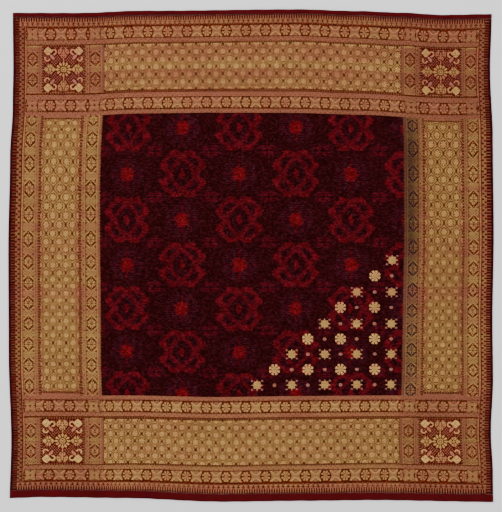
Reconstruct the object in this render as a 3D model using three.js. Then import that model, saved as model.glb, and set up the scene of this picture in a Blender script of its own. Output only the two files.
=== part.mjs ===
import * as THREE from "three";

// A square head cloth of silk with a woven metal-thread border, laid flat, face up.
// X runs along the weft, Y along the warp and Z up, in millimetres.
// The origin is the centre of the underside.

// Driving dimensions
const clothWidth = 874; // selvedge to selvedge at the widest
const clothLength = 887; // outer fold to outer fold of the hems at the longest
const silkThickness = 1; // the plain ground weave
const goldRelief = 0.5; // what the metal-thread floats add to the ground at most
const selvedgeWidth = 3.6; // the dense woven edge on both sides
const selvedgeRelief = 0.25; // what it adds to the ground
const sideBorderDepth = 163; // cloth edge to the plain field, on both sides
const endBorderDepth = 177; // hem to the plain field, at both ends
const bandSlope = 1.2; // width over which a raised band reaches its height
const topHemDepth = 8; // how far each turned end reaches in from its fold
const bottomHemDepth = 13.5;
const hemThickness = 2.2; // the turned end, two layers and the thread between
const seamGap = 0.3; // clearance between a hem and the single cloth
const longestSpan = 62; // the widest cell of the surface, where nothing else divides it

// Raised bands of the border, from the outside in.
// start and end are shares of the border's depth, rise is a share of the gold relief.
const sideBands = [
  { band: "comb and zigzag", start: 0.024, end: 0.14, rise: 0.6 },
  { band: "outer diamonds", start: 0.151, end: 0.295, rise: 1 },
  { band: "medallion lattice", start: 0.356, end: 0.776, rise: 0.9 },
  { band: "inner diamonds", start: 0.842, end: 0.98, rise: 1 },
];
const endBands = [
  { band: "comb and flowers", start: 0.01, end: 0.103, rise: 0.6 },
  { band: "outer stars", start: 0.113, end: 0.245, rise: 1 },
  { band: "medallion lattice", start: 0.296, end: 0.764, rise: 0.9 },
  { band: "inner stars", start: 0.84, end: 0.962, rise: 1 },
];

// How far each edge is drawn in from the cloth's box, as a weaver's beat and years of use left it.
// at runs from -1 to 1 along the edge, drawIn is a share of the cloth's width or length across it.
const leftEdge = [
  { at: -1, drawIn: 0.003 },
  { at: -0.76, drawIn: 0.006 },
  { at: -0.4, drawIn: 0.0008 },
  { at: 0.03, drawIn: 0 },
  { at: 0.4, drawIn: 0.0035 },
  { at: 0.62, drawIn: 0.009 },
  { at: 0.78, drawIn: 0.0102 },
  { at: 1, drawIn: 0.0094 },
];
const rightEdge = [
  { at: -1, drawIn: 0.0012 },
  { at: -0.89, drawIn: 0.0018 },
  { at: -0.72, drawIn: 0.0058 },
  { at: -0.5, drawIn: 0.0014 },
  { at: -0.27, drawIn: 0.0026 },
  { at: 0.08, drawIn: 0 },
  { at: 0.5, drawIn: 0.002 },
  { at: 0.78, drawIn: 0.0074 },
  { at: 1, drawIn: 0.0043 },
];
const topEdge = [
  { at: -1, drawIn: 0.0071 },
  { at: -0.74, drawIn: 0.0073 },
  { at: -0.45, drawIn: 0.0028 },
  { at: 0.2, drawIn: 0 },
  { at: 0.44, drawIn: 0.0034 },
  { at: 0.62, drawIn: 0.0066 },
  { at: 0.8, drawIn: 0.0114 },
  { at: 1, drawIn: 0.0096 },
];
const bottomEdge = [
  { at: -1, drawIn: 0.0078 },
  { at: -0.87, drawIn: 0.0098 },
  { at: -0.53, drawIn: 0.0078 },
  { at: -0.12, drawIn: 0.0004 },
  { at: 0.2, drawIn: 0.0022 },
  { at: 0.52, drawIn: 0.0036 },
  { at: 1, drawIn: 0 },
];

// An edge's share at one place, eased from row to row.
function drawInAt(edge, at) {
  const next = edge.findIndex((row) => row.at >= at);
  if (next < 1) return edge[next < 0 ? edge.length - 1 : 0].drawIn;
  const before = edge[next - 1];
  const after = edge[next];
  const eased = THREE.MathUtils.smoothstep(at, before.at, after.at);
  return THREE.MathUtils.lerp(before.drawIn, after.drawIn, eased);
}

// Where a point of the square loom plan lies on the real cloth: the edges' shifts fade to the centre.
function place(across, along) {
  const s = (2 * across) / clothWidth;
  const t = (2 * along) / clothLength;
  const sideShift = clothWidth * drawInAt(s < 0 ? leftEdge : rightEdge, t);
  const endShift = clothLength * drawInAt(t < 0 ? bottomEdge : topEdge, s);
  return [across - s * sideShift, along - t * endShift];
}

// The height that one border adds to the ground, at a depth from the border's outer edge.
function bandHeight(bands, depth, borderDepth) {
  let height = 0;
  for (const { start, end, rise } of bands) {
    const inside = Math.min(depth - start * borderDepth, end * borderDepth - depth);
    height = Math.max(height, rise * goldRelief * Math.min(inside / bandSlope, 1));
  }
  return height;
}

function topOfCloth(across, along) {
  const fromSide = clothWidth / 2 - Math.abs(across);
  const hemDepth = along < 0 ? bottomHemDepth : topHemDepth;
  const fromHem = clothLength / 2 - Math.abs(along) - hemDepth;
  const selvedge = selvedgeRelief * Math.min((selvedgeWidth - fromSide) / bandSlope, 1);
  return (
    silkThickness +
    Math.max(
      selvedge,
      bandHeight(sideBands, fromSide, sideBorderDepth),
      bandHeight(endBands, fromHem, endBorderDepth),
    )
  );
}

// Depths at which a border's surface changes slope.
function bandDepths(bands, borderDepth) {
  return bands.flatMap(({ start, end }) => [
    start * borderDepth,
    start * borderDepth + bandSlope,
    end * borderDepth - bandSlope,
    end * borderDepth,
  ]);
}

// The given places in order, with more between them wherever they lie far apart.
function fillSpans(places) {
  const sorted = [...places].sort((a, b) => a - b);
  return sorted.flatMap((from, i) => {
    if (i === sorted.length - 1) return [from];
    const parts = Math.ceil((sorted[i + 1] - from) / longestSpan);
    return Array.from({ length: parts }, (_, k) => from + ((sorted[i + 1] - from) * k) / parts);
  });
}

function meshOf(name, positions, faces, material) {
  const geometry = new THREE.BufferGeometry();
  geometry.setAttribute("position", new THREE.Float32BufferAttribute(positions.flat(), 3));
  geometry.setIndex(faces.flat());
  const flat = geometry.toNonIndexed();
  flat.computeVertexNormals();
  const mesh = new THREE.Mesh(flat, material);
  mesh.name = name;
  return mesh;
}

// Lines of the surface from side to side, which the hems share so that their seams run alike.
const sideDepths = [0, selvedgeWidth - bandSlope, selvedgeWidth, ...bandDepths(sideBands, sideBorderDepth)];
const acrossLines = fillSpans(
  sideDepths.flatMap((depth) => [depth - clothWidth / 2, clothWidth / 2 - depth]),
);

// Lines of the surface from hem to hem.
const endDepths = [seamGap, ...bandDepths(endBands, endBorderDepth)];
const alongLines = fillSpans(
  endDepths.flatMap((depth) => [
    depth + bottomHemDepth - clothLength / 2,
    clothLength / 2 - topHemDepth - depth,
  ]),
);

// The single cloth: a grid of heights above a flat underside that shares its rim.
function clothMesh(material) {
  const columns = acrossLines.length;
  const rows = alongLines.length;
  const positions = alongLines.flatMap((along) =>
    acrossLines.map((across) => [...place(across, along), topOfCloth(across, along)]),
  );
  const faces = [];
  for (let j = 0; j < rows - 1; j++)
    for (let i = 0; i < columns - 1; i++) {
      const a = j * columns + i;
      faces.push([a, a + 1, a + 1 + columns], [a, a + 1 + columns, a + columns]);
    }

  const rim = [];
  for (let i = 0; i < columns - 1; i++) rim.push(i);
  for (let j = 0; j < rows - 1; j++) rim.push(j * columns + columns - 1);
  for (let i = columns - 1; i > 0; i--) rim.push((rows - 1) * columns + i);
  for (let j = rows - 1; j > 0; j--) rim.push(j * columns);
  const under = positions.length;
  for (const top of rim) positions.push([positions[top][0], positions[top][1], 0]);
  rim.forEach((top, k) => {
    const next = (k + 1) % rim.length;
    faces.push([top, under + k, under + next], [top, under + next, rim[next]]);
  });
  const outline = rim.map((top) => new THREE.Vector2(positions[top][0], positions[top][1]));
  for (const [a, b, c] of THREE.ShapeUtils.triangulateShape(outline, []))
    faces.push([under + a, under + c, under + b]);
  return meshOf("cloth", positions, faces, material);
}

// A turned and sewn end: a strip with a round outer fold, at the top (end = 1) or bottom (end = -1).
function hemMesh(name, end, hemDepth, material) {
  const radius = hemThickness / 2;
  const section = [[hemDepth, 0], [hemDepth, hemThickness]];
  for (const turn of [90, 126, 162, 198, 234, 270]) {
    const angle = THREE.MathUtils.degToRad(turn);
    section.push([radius + radius * Math.cos(angle), radius + radius * Math.sin(angle)]);
  }
  const positions = acrossLines.flatMap((across) =>
    section.map(([depth, height]) => [...place(across, end * (clothLength / 2 - depth)), height]),
  );
  const sides = section.length;
  const faces = [];
  const addFace = (a, b, c) => faces.push(end > 0 ? [a, b, c] : [a, c, b]);
  for (let i = 0; i < acrossLines.length - 1; i++)
    for (let k = 0; k < sides; k++) {
      const a = i * sides + k;
      const b = i * sides + ((k + 1) % sides);
      addFace(a, a + sides, b + sides);
      addFace(a, b + sides, b);
    }
  const last = (acrossLines.length - 1) * sides;
  for (let k = 1; k < sides - 1; k++) {
    addFace(0, k, k + 1);
    addFace(last, last + k + 1, last + k);
  }
  return meshOf(name, positions, faces, material);
}

const brocade = new THREE.MeshStandardMaterial({ color: 0x8a5a38, roughness: 0.55, metalness: 0.35 });
const hemSilk = new THREE.MeshStandardMaterial({ color: 0x520a0e, roughness: 0.5, metalness: 0 });

const headCloth = new THREE.Group();
headCloth.add(clothMesh(brocade));
headCloth.add(hemMesh("top_hem", 1, topHemDepth, hemSilk));
headCloth.add(hemMesh("bottom_hem", -1, bottomHemDepth, hemSilk));

export default headCloth;
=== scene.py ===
import math

import bmesh
import bpy
import numpy as np
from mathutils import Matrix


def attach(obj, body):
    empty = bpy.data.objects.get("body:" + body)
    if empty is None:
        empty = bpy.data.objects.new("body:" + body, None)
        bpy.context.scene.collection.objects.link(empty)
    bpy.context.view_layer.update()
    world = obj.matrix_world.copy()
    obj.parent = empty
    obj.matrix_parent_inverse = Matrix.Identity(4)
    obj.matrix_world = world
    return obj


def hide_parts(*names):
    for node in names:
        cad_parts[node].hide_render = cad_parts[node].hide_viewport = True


# A square silk head cloth with a woven metal-thread border and a tie-dyed weft field, laid flat.
# Plan sizes are millimetres on the loom: x across between the selvedges, y along between the hems.
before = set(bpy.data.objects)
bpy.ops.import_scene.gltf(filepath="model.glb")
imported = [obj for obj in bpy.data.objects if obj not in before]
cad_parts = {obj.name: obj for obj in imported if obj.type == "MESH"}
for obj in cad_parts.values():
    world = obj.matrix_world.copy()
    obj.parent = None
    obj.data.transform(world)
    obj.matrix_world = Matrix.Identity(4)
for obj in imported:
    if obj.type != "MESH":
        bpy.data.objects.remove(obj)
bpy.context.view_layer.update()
rng = np.random.default_rng(1850)
mm = 0.001
waveBand = 0.314  # how far apart a wave texture's bands lie at scale 1

cloth = {
    "width": 874.0,
    "length": 887.0,
    "thickness": 1.0,
    "topHem": 8.0,
    "bottomHem": 13.5,
    "hemThickness": 2.2,
    "seamGap": 0.3,
    "sideBorder": 163.0,
    "endBorder": 177.0,
    "selvedge": 3.6,
    "selvedgeRelief": 0.25,
    "ripple": 0.9,  # height of the soft waves along the edges
}
topSeam = cloth["length"] / 2 - cloth["topHem"]
bottomSeam = cloth["bottomHem"] - cloth["length"] / 2

# How far each edge is drawn in: place along it from -1 to 1, and share of the width or length.
edgeTables = {
    "left": [(-1, 0.003), (-0.76, 0.006), (-0.4, 0.0008), (0.03, 0), (0.4, 0.0035),
             (0.62, 0.009), (0.78, 0.0102), (1, 0.0094)],
    "right": [(-1, 0.0012), (-0.89, 0.0018), (-0.72, 0.0058), (-0.5, 0.0014), (-0.27, 0.0026),
              (0.08, 0), (0.5, 0.002), (0.78, 0.0074), (1, 0.0043)],
    "top": [(-1, 0.0071), (-0.74, 0.0073), (-0.45, 0.0028), (0.2, 0), (0.44, 0.0034),
            (0.62, 0.0066), (0.8, 0.0114), (1, 0.0096)],
    "bottom": [(-1, 0.0078), (-0.87, 0.0098), (-0.53, 0.0078), (-0.12, 0.0004), (0.2, 0.0022),
               (0.52, 0.0036), (1, 0)],
}


# How far the inner lines of the weave stray from straight, mm: the line's own course, and how
# its shift fades out to both sides.
strays = [
    {"moves": "y", "fade": [(277, 0), (405, 1), (434, 0)],
     "course": [(-390, -1.1), (-300, -0.2), (-240, 0), (-90, 0.7), (90, 1.4), (240, -1.1),
                (300, -1.6), (390, -2.0)]},
    {"moves": "y", "fade": [(222, 0), (258, 1), (277, 1), (405, 0)],
     "course": [(-390, -4.0), (-300, -3.6), (-240, -1.8), (-90, -0.4), (90, -2.0), (240, -4.0),
                (300, -7.2), (390, -7.7)]},
    {"moves": "y", "fade": [(-395, 0), (-270, 1), (-250, 1), (-222, 0)],
     "course": [(-390, -3.1), (-300, -3.2), (-240, -2.7), (-90, -2.0), (90, -0.9), (240, -0.5),
                (300, -0.4), (390, 0)]},
    {"moves": "y", "fade": [(-430, 0), (-395, 1), (-270, 0)],
     "course": [(-390, -3.8), (-300, -2.9), (-240, -1.8), (-90, 0.4), (90, 1.4), (240, 2.9),
                (300, 2.3), (390, 2.2)]},
    {"moves": "x", "fade": [(-401, 0), (-291, 1), (-272, 1), (-235, 0)],
     "course": [(-350, 6.7), (-313, 6.7), (-250, 4.5), (-205, 3.6), (-61, 3.6), (0, 2.7),
                (64, 2.2), (135, 0.9), (207, 2.2), (256, 2.7), (310, 5.2), (435, 4.0)]},
    {"moves": "x", "fade": [(235, 0), (272, 1), (291, 1), (401, 0)],
     "course": [(-350, -5.4), (-313, -4.5), (-250, -3.1), (-205, -1.8), (-133, 0), (0, 1.2),
                (207, 2.0), (256, 0.4), (310, -0.9)]},
]


def drawnIn(edge, at):
    table = np.array(edgeTables[edge])
    at = np.clip(at, table[0, 0], table[-1, 0])
    row = np.clip(np.searchsorted(table[:, 0], at) - 1, 0, len(table) - 2)
    share = (at - table[row, 0]) / (table[row + 1, 0] - table[row, 0])
    share = share * share * (3 - 2 * share)
    return table[row, 1] + share * (table[row + 1, 1] - table[row, 1])


def stray(x, y, moves):
    total = np.zeros(np.shape(x))
    for line in strays:
        if line["moves"] != moves:
            continue
        along, across = (x, y) if moves == "y" else (y, x)
        course, fade = np.array(line["course"]), np.array(line["fade"])
        total += np.interp(along, course[:, 0], course[:, 1]) * np.interp(
            across, fade[:, 0], fade[:, 1])
    return total


def place(x, y):
    # from the loom plan to where the cloth's edges and lines really run
    s = 2 * x / cloth["width"]
    t = 2 * y / cloth["length"]
    side = cloth["width"] * np.where(s < 0, drawnIn("left", t), drawnIn("right", t))
    end = cloth["length"] * np.where(t < 0, drawnIn("bottom", s), drawnIn("top", s))
    return x - s * side + stray(x, y, "x"), y - t * end + stray(x, y, "y")


def lift(x, y):
    # soft waves that die away towards the middle of the cloth
    s = np.abs(2 * x / cloth["width"])
    t = np.abs(2 * y / cloth["length"])
    edge = np.clip(np.maximum(s, t) * 3.4 - 2.4, 0, 1) ** 2
    wave = np.sin(x / 47 + 0.6) * np.cos(y / 61 - 0.4) + 0.6 * np.sin((x + y) / 83 + 1.1)
    return cloth["ripple"] * (0.15 + 0.85 * edge) * (0.5 + 0.31 * wave)


def linear(hexColour):
    parts = [int(hexColour[i:i + 2], 16) / 255 for i in (0, 2, 4)]
    return [c / 12.92 if c <= 0.04045 else ((c + 0.055) / 1.055) ** 2.4 for c in parts] + [1.0]


def addNode(tree, kind, settings=None, inputs=None, stops=()):
    # inputs are plain values, output sockets, or nodes that feed them by their first output,
    # and stops are places with their colours, in order, for a ramp that starts out with two
    node = tree.nodes.new(kind)
    for label, value in (settings or {}).items():
        setattr(node, label, value)
    for label, value in (inputs or {}).items():
        if isinstance(value, bpy.types.Node):
            value = value.outputs[0]
        if isinstance(value, bpy.types.NodeSocket):
            tree.links.new(value, node.inputs[label])
        else:
            node.inputs[label].default_value = value
    if stops:
        band = node.color_ramp.elements
        while len(band) < len(stops):
            band.new(1.0)
        for stop, (at, colour) in zip(band, stops):
            stop.position = at
            stop.color = colour
    return node


def newMaterial(name):
    material = bpy.data.materials.new(name)
    material.use_nodes = True
    material.node_tree.nodes.clear()
    return material, material.node_tree


def addObject(name, data):
    obj = bpy.data.objects.new(name, data)
    bpy.context.scene.collection.objects.link(obj)
    return obj


def smoothMesh(name, bm):
    mesh = bpy.data.meshes.new(name)
    bm.to_mesh(mesh)
    bm.free()
    mesh.polygons.foreach_set("use_smooth", np.ones(len(mesh.polygons), bool))
    return mesh


def layOut(bm, px, py, z):
    # moves the points from the loom plan to the laid cloth
    wx, wy = place(px, py)
    for i, v in enumerate(bm.verts):
        v.co = (wx[i] * mm, wy[i] * mm, z[i] * mm)
    bmesh.ops.recalc_face_normals(bm, faces=bm.faces)


def finishPiece(obj, material, cadNodes=()):
    obj.data.materials.append(material)
    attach(obj, "root")
    for node in cadNodes:
        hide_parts(node)
    return obj


# The draft: which weft picks show gold, worked out motif by motif.
draft = {
    "pick": 0.9,  # real gold wefts lie about 0.5 mm apart, drawn coarser so that they show
    "step": 0.45,
    "binding": 14,  # columns between the warp ends that tie a long float down
    "starPitch": 35.96,
    "firstStar": -261.0,
    "medallionPitch": 24.6,
    "latticeRow": 13.33,
    "sideColumn": 11.5,
    "sideRow": 26.0,
    "endMedallion": 5.8,
    "sideMedallion": 5.4,
}

# Where the weaver's beat set the side motifs, mm along from the centre, in order down the cloth.
sideDiamonds = {
    "left": [251.0, 213.6, 168.0, 122.0, 75.6, 29.3, -11.4, -51.0, -86.8, -124.5, -162.2, -200.9,
             -237.5],
    "right": [241.6, 195.6, 149.3, 103.1, 58.3, 14.6, -24.1, -61.9, -100.7, -134.1, -170.4,
              -206.8, -243.3],
}
sideLatticeRows = {
    "left": [244.4, 218.5, 188.0, 156.0, 123.0, 90.5, 56.0, 25.0, -2.5, -32.0, -56.0, -82.5,
             -107.0, -132.5, -160.0, -186.0, -211.5, -237.7],
    "right": [240.5, 204.0, 172.0, 140.0, 108.0, 77.5, 43.5, 12.5, -12.5, -41.5, -64.0, -88.5,
              -112.5, -137.0, -162.0, -187.0, -211.5, -236.5],
}


def motifsDown(places, ys, before, after):
    # how many motifs down the cloth each pick lies, at an even pitch past the ends of the list
    count = np.interp(-ys, -np.array(places), np.arange(len(places), dtype=float))
    count -= np.clip(ys - places[0], 0, None) / before
    return count + np.clip(places[-1] - ys, 0, None) / after


def nearest(value, pitch, phase=0.0):
    return (value - phase + pitch / 2) % pitch - pitch / 2


def petals(u, v, count, reach, gap, turn=0.0, heart=0.0):
    # a flower of equal petals parted by thin lines
    radius = np.hypot(u, v)
    wedge = 2 * math.pi / count
    angle = nearest(np.arctan2(v, u), wedge, turn)
    parting = radius * np.sin(wedge / 2 - np.abs(angle))
    rim = reach * (0.74 + 0.26 * np.cos(angle * count / 2) ** 0.6)
    return ((radius < rim) & (parting > gap / 2)) | (radius < heart)


def octagon(u, v):
    return np.maximum(np.maximum(np.abs(u), np.abs(v)), (np.abs(u) + np.abs(v)) / 1.4142)


def oval(u, v, cu, cv, ru, rv, turn=0.0):
    du = (u - cu) * math.cos(turn) + (v - cv) * math.sin(turn)
    dv = (v - cv) * math.cos(turn) - (u - cu) * math.sin(turn)
    return (du / ru) ** 2 + (dv / rv) ** 2 < 1


def hook(u, v, cu, cv, radius, width, fromAngle, toAngle):
    # part of a ring, angles in turns
    angle = (np.arctan2(v - cv, u - cu) / (2 * math.pi) - fromAngle) % 1
    away = np.abs(np.hypot(u - cu, v - cv) - radius)
    return (away < width / 2) & (angle < (toAngle - fromAngle) % 1)


def speckled(u, v, level=0.8):
    # a fill tied down at staggered spots, so it looks duller
    row = np.floor(v / 2.7 + 0.5)
    spot = np.hypot(nearest(u, 5.4, 2.7 * (row % 2)), nearest(v, 2.7)) < 0.75
    return np.where(spot, 0.0, level)


def starBand(u, v):
    # eight-petalled stars between dark pointed brackets, with crossed bars between them
    near = nearest(u, draft["starPitch"])
    a, b = np.abs(near), np.abs(v)
    radius = np.hypot(a, b)
    reach = 0.8 * (draft["starPitch"] / 2 - a) + 1.6
    level = np.where(b > reach + 1.9, speckled(near, b, 0.70), 0.76)
    level = np.where((np.abs(b - reach) < 1.9) & (b > 2.2), 1.22, level)
    pointed = a + 0.38 * b
    level = np.where(pointed < 10.8, 0.0, level)
    star = petals(near * 1.10, v, 8, 9.0, 1.2, math.pi / 8) & ~((b < 1.2) & (a > 3.2))
    level = np.where((pointed < 10) & star, 1.12, level)
    level = np.where(radius < 3.2, 0.80, level)
    # thin dark dotted line along both edges
    return np.where((b > 9.3) & (np.floor(near / 1.8) % 3 > 0), 0.0, level)


def netOf(r, other, du, dv, size):
    # one bright medallion in its dark ring, and its share of the net round it
    edge = other - r
    level = np.where(edge < 1.2, 0.0, 0.88)
    level = np.where((np.abs(dv) < 1.0) & (r > size + 4.0), 0.0, level)
    level = np.where(r < size + 1.1, 0.0, level)
    angle = nearest(np.arctan2(dv, du), math.pi / 4, math.pi / 8)
    notch = (np.abs(r * np.sin(angle)) < 0.5) & (r > 0.62 * size)
    disc = np.where(r < 1.9, 1.0, 1.2)
    return np.where((r < size) & ~notch, disc, level)


def medallions(u, pitch, v, rows, scale, size, shifted):
    # staggered medallions: v repeats after two rows, scale is mm to a unit of v, and shifted
    # tells which of the two rows, 0 or 1, lies half a pitch over
    found = []
    for parity in (0, 1):
        du = nearest(u, pitch, pitch / 2 if parity == shifted else 0.0)
        dv = nearest(v, rows, parity * rows / 2) * scale
        found.append((np.hypot(du, dv), du, dv))
    first, second = found
    closer = second[0] < first[0]
    r = np.minimum(first[0], second[0])
    other = np.maximum(first[0], second[0])
    du = np.where(closer, second[1], first[1])
    dv = np.where(closer, second[2], first[2])
    return netOf(r, other, du, dv, size)


def florets(phase, v, pitch):
    # plump scalloped lumps with a bud in each hollow between them, phase in motifs
    hollow = np.abs(nearest(phase, 1.0, 0.5)) * pitch
    scallop = -0.6 - 3.0 * np.abs(np.cos(math.pi * phase))
    level = np.where(v > scallop, 0.9, 0.0)
    level = np.where((hollow < 0.8) & (v > -1.0), 0.0, level)
    level = np.where(np.hypot(nearest(phase, 0.5, 0.25) * pitch, v - 1.2) < 0.9, 0.0, level)
    return np.where(np.hypot(hollow, v + 3.4) < 1.15, 0.85, level)


def pricked(phase, v):
    # a dull stripe with two staggered columns of dark spots, phase in spots
    first = np.hypot(nearest(phase, 1.0) * 9.0, v - 2.1)
    second = np.hypot(nearest(phase, 1.0, 0.5) * 9.0, v + 1.9)
    return np.where(np.minimum(first, second) < 1.8, 0.0, 0.9)


def guardLine(u, v, half):
    # plain rosy stripe with a zigzag of small dark dots
    dots = np.hypot(nearest(u, 9.0), v - 0.3 * half) < 0.85
    dots |= np.hypot(nearest(u, 9.0, 4.5), v + 0.3 * half) < 0.85
    return np.where(dots, 0.0, 0.96)


def diamondColumn(u, phase, pitch):
    # upright six-sided frames round an eight-petalled star, their points hugged by bright bars
    v = nearest(phase, 1.0) * pitch
    a, b = np.abs(u), np.abs(v)
    half = 0.365 * pitch
    along = b / half
    size = np.maximum(a / 8.7, along + 0.065 * a)
    level = np.where(a < 9.6, speckled(u + 2.7, pitch / 2 - b, 0.84), 0.0)
    level = np.where(np.hypot(a - 8.0, b - 0.88 * half) < 1.25, 0.0, level)
    level = np.where((size < 1.18) & (along > 0.45), 1.06, level)
    gapped = (along < 0.30) & (np.floor(v / 1.8) % 2 > 0)
    level = np.where(size < 1.0, np.where(gapped, 0.7, 0.0), level)
    star = petals(u * 1.3, v * 12.6 / half, 8, 8.6, 1.3, math.pi / 8)
    level = np.where((size < 0.70) & star, 1.12, level)
    bud = a / 1.4 + np.abs(along - 0.74) * half / 1.6 < 1
    return np.where(bud, 0.9, level)


def crossingFlower(a, b):
    # where a star row meets a column of diamonds: four broad petals and four small ones
    level = np.where(octagon(a, b) > 9.4, 0.84, 0.0)
    level = np.where(petals(a, b, 4, 9.8, 1.4, math.pi / 4), 0.98, level)
    level = np.where(petals(a, b, 4, 6.2, 2.8, 0.0), 1.1, level)
    return np.where(np.abs(a) < 9.7, level, 0.0)


def spray(a, b, grow):
    # the corner spray of one quarter: a scalloped flower, a leaf and two curled tails
    shape = oval(a, b, 27.0, 32.6, 7.4 + grow, 4.8 + grow)
    shape |= oval(a, b, 27.0, 32.6, 4.8 + grow, 7.4 + grow)
    shape |= oval(a, b, 27.2, 32.8, 6.2 + grow, 6.2 + grow)
    shape |= hook(a, b, 16.8, 31.2, 4.0, 2.9 + 2 * grow, 0.0, 0.80)
    shape |= hook(a, b, 28.6, 19.4, 4.0, 2.9 + 2 * grow, 0.50, 0.14)
    return shape


def cornerSquare(across, along):
    # folded so that one quarter is drawn: gives the brightness and how much yellower it is
    a, b = np.abs(across), np.abs(along)
    radius = np.hypot(a, b)

    def leaf(grow):
        return oval(a, b, 19.6, 22.0, 5.8 + grow, 2.7 + grow, 0.88)

    def palmette(grow):
        width = 1.4 + grow + np.clip(b - 17, 0, 12) * 0.70 - np.clip(b - 32, 0, 8) * 0.35
        return (b > 17 - grow) & (b < 38.8) & (a < width)

    def sidePalmette(grow):
        return (np.abs(a - 24) + b < 10.8 + grow * 1.4) & (a < 34.5)

    outline = spray(a, b, 1.4) | leaf(1.2) | palmette(1.4) | sidePalmette(1.2) | (radius < 14.6)
    row = np.floor(b / 2.7 + 0.5)
    fill = np.hypot(nearest(a, 4.5, 2.25 * (row % 2)), nearest(b, 2.7)) < 1.05
    level = np.where(fill & ~outline & (a < 35) & (b < 39.6), 0.80, 0.0)
    tint = np.full(a.shape, -0.6)
    level[palmette(0)] = 0.90
    tint[palmette(0)] = -0.1
    tint[palmette(0) & (along < 0)] = -0.3
    ribs = (nearest(b, 4.6) ** 2 + nearest(a, 4.4, 2.2) ** 2 < 1.2) | (
        np.abs(a - (38 - b) * 0.45) < 0.6)
    level[palmette(0) & ribs] = 0.0
    level[sidePalmette(0)] = 0.86
    tint[sidePalmette(0)] = 0.0
    level[(np.abs(b - 0.9 * np.abs(a - 24)) < 0.8) & (radius > 19) & (b > 2.2)] = 0.0
    level[(np.abs(a - 24) < 0.7) & (b > 4.5)] = 0.0
    level[(np.hypot(a - 23.5, b) > 2.4) & (np.hypot(a - 23.5, b) < 3.6)] = 0.0
    level[leaf(0)] = 1.0
    tint[leaf(0)] = -0.7
    level[spray(a, b, 0)] = 1.12
    tint[spray(a, b, 0)] = -0.05
    tint[np.hypot(a - 27.0, b - 32.6) < 7.5] = 0.45
    for cu, cv in ((27.0, 32.6), (23.6, 30.2), (30.4, 30.2), (25.0, 36.4)):
        level[np.hypot(a - cu, b - cv) < 0.75] = 0.0
    # leafy rosette in the middle, with bars out to the palmettes
    rays = petals(a, b, 12, 13.4, 1.8, 0.0) & (radius > 6.8)
    level[rays] = 1.0
    tint[radius < 13.4] = 0.1
    level[radius < 5.2] = 0.92
    level[(radius > 2.2) & (radius < 3.3)] = 0.0
    level[(b < 1.1) & (a > 12) & (a < 16)] = 0.9
    level[(a < 1.1) & (b > 12) & (b < 19)] = 0.9
    return level, tint


def spangleStar(u, v):
    # eight-pointed star with a dot off each corner
    a, b = np.abs(u), np.abs(v)
    body = (a / 10.8 + b / 4.4 < 1) | (a / 4.4 + b / 10.0 < 1)
    body |= (np.maximum(a, b) < 6.2) & (a + b < 11.4)
    level = np.where(body, np.where(np.hypot(a, b) < 6.2, 0.92, 1.08), 0.0)
    level[oval(a, b, 9.0, 7.4, 2.1, 1.6)] = 0.80
    return level


def spangleRosette(u, v):
    # eight petals, pale at their tips
    radius = np.hypot(u, v)
    shape = petals(u, v, 8, 10.3, 1.7, math.pi / 8, 5.6)
    return np.where(shape, np.where(radius < 5.2, 0.94, 1.42), 0.0)


# Spangles woven into one corner of the field: rows and columns, in mm on the plan.
spangles = {
    "columns": [11.0, 42.4, 73.6, 102.7, 133.3, 161.8, 191.2, 223.5, 253.8],
    "rows": [-8.3, -36.8, -66.2, -93.9, -123.3, -150.9, -178.5, -206.1, -233.7],
    "dotRadius": 2.9,
}

# Finish of each part of the border: tone runs from rosy to yellow metal, shade is its brightness.
finish = {
    "comb": (0.10, 0.76),
    "flowers": (0.26, 0.76),
    "guard": (0.12, 0.70),
    "stars": (0.46, 0.86),
    "lattice": (0.76, 0.90),
    "sideDiamonds": (0.72, 0.77),
    "sideLattice": (0.92, 0.83),
    "corner": (0.56, 1.0),
    "spangle": (1.0, 1.0),
}

# A dark, greyer strip down the right side of the field, strongest in the upper half.
darkStrip = {
    "fromSide": 151.0,
    "reach": 19.0,
    "rows": [-255, -60, 30, 200, 258],
    "strength": [0.33, 0.41, 0.71, 0.74, 0.52],
    "tone": 0.35,
    "silk": "2c171b",  # the silk under it is darker and greyer too
}

# Differences of the metal over the cloth: shares of brightness, and tones. The darkening towards the
# right is painted shade, the light falling off across the cloth.
wearAndShade = {
    # painted shade: the metal dims towards the right, as the light falls off
    "shadeTowardsRight": 0.05,
    "towardsTop": 0.03,
    "spans": (437, 443),  # mm from the middle to where these two are full
    "topTone": 0.12,
    "lowSquares": 0.16,
    "blockTone": 0.36,  # rosier round the corner squares than along the sides
    "blockShade": 0.06,
    "rightEdge": 0.08,
    "edgeDepth": 46,  # mm
    "lowStars": 0.07,
    "lowComb": 0.08,
    "combDepth": 19,  # mm
    "innerStars": 138,  # mm from the end
}
pieceNames = ["gold_left", "gold_right", "gold_top_outer", "gold_top_lattice", "gold_top_inner",
              "gold_bottom_outer", "gold_bottom_lattice", "gold_bottom_inner",
              "gold_corner_top_left", "gold_corner_top_right", "gold_corner_bottom_left",
              "gold_corner_bottom_right", "gold_spangles"]


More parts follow.
